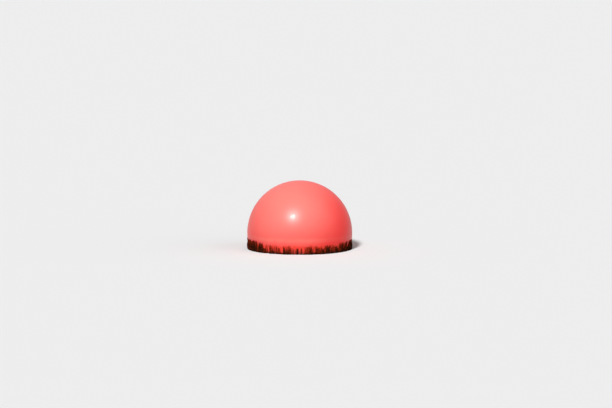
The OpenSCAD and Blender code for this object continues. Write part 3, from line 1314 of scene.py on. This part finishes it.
@dataclass
class Tackle:
    """The shackle and the eye swivel, rusting where they rub on each other."""

    softening: Softening = Softening(0.7 * MM, 4)
    pin_z: float = -262 * MM
    ear_x: float = 24 * MM
    ear_reach: float = 7 * MM
    crown_z: float = -336 * MM
    crown_reach: float = 13 * MM
    hub_z: float = -381 * MM
    hub_reach: float = 7 * MM
    eye_z: float = -449 * MM
    eye_reach: float = 11 * MM

    def wear(self) -> tuple[Wear, ...]:
        """Lists where the links rub.

        Returns:
            Each place with its reach.
        """
        places = ((0.0, self.crown_z, self.crown_reach), (0.0, self.hub_z, self.hub_reach),
                  (-self.ear_x, self.pin_z, self.ear_reach), (self.ear_x, self.pin_z, self.ear_reach),
                  (0.0, self.eye_z, self.eye_reach))
        return tuple(Wear((x, 0.0, z), reach) for x, z, reach in places)

    def build(self) -> None:
        """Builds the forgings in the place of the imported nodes, and dresses the washer between them."""
        steel = Galvanised(wear=self.wear()).build("galvanised_finish")
        for node, body in (("shackle_bow", "shackle"), ("shackle_pin", "shackle"),
                           ("swivel_loop", "swivel_upper"), ("swivel_eye", "swivel_lower")):
            piece = self.softening.copy(node, node + "_forging", steel)
            place_piece(piece, body, "galvanised_steel", node)
        dress("swivel_washer", steel)


@dataclass
class Mousing:
    """The wire that locks the shackle's pin: turns through its grip and round the bow, ends twisted."""

    finish: bpy.types.Material
    wire_r: float = 0.55 * MM
    corners: int = 12
    turns: int = 3
    turn_pitch: float = 2.15
    bar_r: float = 8 * MM
    bar_steps: int = 12
    grip_r: float = 12 * MM
    grip_half: float = 4.5 * MM
    hole_r: float = 4.5 * MM
    hole_share: float = 0.55
    bend_share: float = 0.93
    bend_low: Span = (0.4 * MM, 2.0 * MM)
    drop: float = 30 * MM
    twist_pitch: float = 4.2 * MM
    twist_steps: int = 12
    twist_r: float = 1.05
    tail: float = 12 * MM
    tail_drop: float = 1.2 * MM
    tail_way: Place = (0.35, 0.45, -0.82)

    def __post_init__(self) -> None:
        """Reads the places of the grip and of the leg from the frame."""
        wire_low, wire_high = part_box("mousing_wire")
        pin_low, pin_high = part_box("shackle_pin")
        self.grip = Vector((pin_high.x - self.grip_r, 0.0, (pin_low.z + pin_high.z) / 2))
        self.leg = Vector((wire_low.x + wire_high.y, 0.0, self.grip.z - self.drop))
        self.pull = (self.leg - self.grip).normalized()
        self.bend_r = self.bar_r + self.wire_r

    def _turn(self, index: int) -> Strand:
        """Leads one turn through the hole, down both faces of the grip, and round the leg.

        Args:
            index: the turn's number, from 0.

        Returns:
            Its points, each with the wire's radius.
        """
        step = (index - (self.turns - 1) / 2) * self.turn_pitch * self.wire_r
        across = Vector((-self.pull.z, 0.0, self.pull.x)) * step
        inside = self.grip + self.pull * (self.hole_r - self.wire_r) + across
        leg = self.leg + Vector((0.0, 0.0, step))
        face = self.grip_half + self.wire_r
        bends = [(inside + self.pull * low, Vector((0.0, y, 0.0)))
                 for low, y in zip(self.bend_low, (face * self.bend_share, face))]
        points = [inside + Vector((0.0, y, 0.0)) for y in (-self.hole_share * face, self.hole_share * face)]
        points += [place + out for place, out in bends]
        for i in range(self.bar_steps + 1):
            a = math.pi * i / self.bar_steps
            points.append(leg + Vector((-self.bend_r * math.sin(a), self.bend_r * math.cos(a), 0.0)))
        points += [place - out for place, out in reversed(bends)]
        return [(point, self.wire_r) for point in points]

    def _tail(self, side: int) -> Strand:
        """Leads one of the two ends, which twist round each other away from the leg.

        Args:
            side: -1 for one end and 1 for the other.

        Returns:
            Its points, each with the wire's radius.
        """
        root = self.leg + Vector((0.0, self.bend_r, -self.tail_drop))
        along = Vector(self.tail_way).normalized()
        one = along.cross(Vector((0.0, 0.0, 1.0))).normalized()
        other = along.cross(one)
        steps = round(self.twist_steps * self.tail / self.twist_pitch)
        points = []
        for i in range(steps + 1):
            a = math.tau * i / self.twist_steps + math.pi * (side > 0)
            out = self.wire_r * self.twist_r * (one * math.cos(a) + other * math.sin(a))
            points.append((root + along * (self.tail * i / steps) + out, self.wire_r))
        return points

    def build(self) -> None:
        """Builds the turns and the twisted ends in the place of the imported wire."""
        paths = [self._turn(i) for i in range(self.turns)] + [self._tail(-1), self._tail(1)]
        piece = strands("mousing_strands", paths, self.finish, self.corners, self.turns)
        place_piece(piece, "shackle", "steel_wire", "mousing_wire")


@dataclass
class Valve:
    """The inflation valve under the ball, on the boss that is moulded on the skin."""

    ball: Ball
    body_finish: bpy.types.Material
    plug_finish: bpy.types.Material
    gasket_finish: bpy.types.Material
    softening: Softening = Softening(0.4 * MM, 3)
    boss_r: float = 19 * MM
    boss_rise: float = 2.5 * MM
    seat_r: float = 9 * MM
    seat_edge: float = 0.4 * MM
    rim_edge: float = 1.2 * MM
    fillet: float = 2 * MM
    around: int = 72

    def build_boss(self) -> bpy.types.Object:
        """Builds the boss as a low ring that swells out of the skin.

        Returns:
            The boss.
        """
        low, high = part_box("valve_body")
        axis = ((low + high) / 2 - self.ball.centre).normalized()
        top = self.ball.radius + self.boss_rise
        root = self.ball.radius - self.fillet
        outline = Outline(self.seat_r, root)
        outline.line(self.seat_r, top - self.seat_edge, steps=2)
        outline.arc(self.seat_r + self.seat_edge, top - self.seat_edge, 90.0, steps=3)
        outline.line(self.boss_r - self.rim_edge, top, steps=4)
        outline.arc(self.boss_r - self.rim_edge, top - self.rim_edge, 90.0, steps=6)
        outline.line(self.boss_r + self.fillet, root, steps=4)
        outline.line(self.seat_r, root)
        bm = outline.turn(self.around)
        turn = axis.to_track_quat("Z", "Y").to_matrix().to_4x4()
        bmesh.ops.transform(bm, matrix=Matrix.Translation(self.ball.centre) @ turn, verts=bm.verts[:])
        return piece_from(bm, "valve_boss", self.ball.finish)

    def build(self) -> None:
        """Builds the boss and the mouldings of body and plug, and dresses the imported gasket."""
        place_piece(self.build_boss(), "float", "red_vinyl")
        for node, slot, finish in (("valve_body", "valve_plastic", self.body_finish),
                                   ("valve_plug", "valve_plug_plastic", self.plug_finish)):
            place_piece(self.softening.copy(node, node + "_moulding", finish), "float", slot, node)
        dress("valve_gasket", self.gasket_finish)


# Studio

@dataclass(frozen=True)
class Lamp:
    """A soft lamp: the way it stands, its strength, its width in degrees, and whether gloss mirrors it."""

    name: str
    stands: Place
    strength: float
    width: float
    gleams: bool


@dataclass(frozen=True)
class Studio:
    """The camera, lamps, floor and world."""

    width: int = 612
    height: int = 408
    ball_px: tuple[float, float] = (299.7, 232.8)
    ball_px_radius: float = 52.5
    camera_lift: float = 7.0
    camera_far: float = 12.0
    camera_reach: float = 500.0
    sensor: float = 36.0
    lamps: tuple[Lamp, ...] = (Lamp("key", (-0.242, -0.700, 0.672), 3.3, 9.0, True),
                               Lamp("fill", (0.896, -0.362, 0.259), 0.95, 80.0, False))
    ambient: float = 0.20
    from_below: float = 0.75
    horizon: Span = (0.0, -0.1)
    backdrop: float = 0.65
    floor_reach: float = 120.0
    floor_colour: Colour = (0.85, 0.85, 0.85)
    floor_bounce: Colour = (0.35, 0.35, 0.35)

    def camera(self, ball: Ball) -> None:
        """Places the camera so that the ball has the photograph's place and size in the frame.

        Args:
            ball: the ball.
        """
        lift = math.radians(self.camera_lift)
        away = Vector((0.0, -math.cos(lift), math.sin(lift)))
        focal_px = self.ball_px_radius / math.tan(math.asin(ball.radius / self.camera_far))
        data = bpy.data.cameras.new("camera")
        data.sensor_width = self.sensor
        data.lens = focal_px * self.sensor / self.width
        data.clip_end = self.camera_reach
        eye = linked("camera", data)
        pan = math.atan2(self.ball_px[0] - self.width / 2, focal_px)
        tilt = math.atan2(self.ball_px[1] - self.height / 2, focal_px)
        eye.location = ball.centre + away * self.camera_far
        eye.rotation_euler = (math.pi / 2 - lift + tilt, 0.0, pan)
        bpy.context.scene.camera = eye

    def light(self) -> None:
        """Hangs the key lamp where the highlight shows it, and a wide weak one on the other side."""
        for lamp in self.lamps:
            data = bpy.data.lights.new(lamp.name, "SUN")
            data.energy = lamp.strength
            data.angle = math.radians(lamp.width)
            hung = linked(lamp.name, data)
            hung.rotation_euler = Vector(lamp.stands).to_track_quat("Z", "Y").to_euler()
            hung.visible_glossy = lamp.gleams

    def world(self) -> None:
        """Lights evenly from all round, and shows a pale backdrop to the camera and in reflections."""
        world = bpy.data.worlds.new("studio_world")
        bpy.context.scene.world = world
        world.use_nodes = True
        g = Graph("studio_world", world.node_tree)
        down = g.height(g.add("ShaderNodeTexCoord", output="Generated")).rise(*self.horizon)
        strength = down * (self.from_below - self.ambient) + self.ambient
        plain = g.add("ShaderNodeBackground", inputs={"Color": WHITE, "Strength": strength})
        pale = g.add("ShaderNodeBackground", inputs={"Color": WHITE, "Strength": self.backdrop})
        g.end(g.add("ShaderNodeMixShader", inputs={0: self._seen(g), 1: plain, 2: pale}),
              "ShaderNodeOutputWorld")

    @staticmethod
    def _seen(g: Graph) -> Field:
        """1 for rays that show a surface to the camera, straight, mirrored or through glass."""
        seen = g.add("ShaderNodeLightPath", output="Is Camera Ray")
        return seen.most(g.beside(seen, "Is Glossy Ray")).most(g.beside(seen, "Is Transmission Ray"))

    def floor(self) -> None:
        """Lays the pale floor at the waterline: open from below, so that light reaches the tackle."""
        g = Graph("floor_finish")
        colour = g.blend(self._seen(g), self.floor_bounce, self.floor_colour)
        top = g.add("ShaderNodeBsdfDiffuse", inputs={"Color": colour})
        below = g.add("ShaderNodeBsdfTransparent")
        back = g.add("ShaderNodeNewGeometry", output="Backfacing")
        g.end(g.add("ShaderNodeMixShader", inputs={0: back, 1: top, 2: below}))
        bm = bmesh.new()
        bmesh.ops.create_grid(bm, x_segments=1, y_segments=1, size=self.floor_reach)
        piece_from(bm, "floor", g.material)

    def build(self, ball: Ball) -> None:
        """Builds the whole studio round the ball.

        Args:
            ball: the ball.
        """
        self.camera(ball)
        self.light()
        self.world()
        self.floor()
        bpy.context.scene.view_settings.view_transform = "Standard"
        LOG.info("studio: camera, %d lamps, floor at the waterline", len(self.lamps))


def main() -> None:
    """Builds the studio and every piece in order."""
    logging.basicConfig(level=logging.INFO, format="%(name)s: %(message)s")
    ball = Ball(RedVinyl().build())
    Studio().build(ball)
    ball.build()
    wet = WetWeed()
    rusty = WetWeed(brown=(0.090, 0.016, 0.004), tip=(0.46, 0.040, 0.010), tip_height=(-3 * MM, 20 * MM))
    olive = WetWeed(dark=(0.030, 0.022, 0.007), brown=(0.075, 0.052, 0.016), olive=(0.150, 0.140, 0.040))
    Weed(ball, wet.build("wet_weed_finish"), rusty.build("dry_weed_finish"),
         olive.build("olive_weed_finish")).build()
    RopeHold(MouldedVinyl().build()).build()
    Tackle().build()
    black = HardPlastic()
    ivory = HardPlastic(base=(0.6, 0.58, 0.52))
    rubber = HardPlastic(base=(0.02, 0.02, 0.02))
    Valve(ball, black.build("valve_finish"), ivory.build("valve_plug_finish"),
          rubber.build("gasket_finish")).build()
    wire = Galvanised(zinc=(0.22, 0.22, 0.21), dull=(0.12, 0.12, 0.11))
    Mousing(wire.build("wire_finish")).build()


if __name__ == "__main__":
    main()
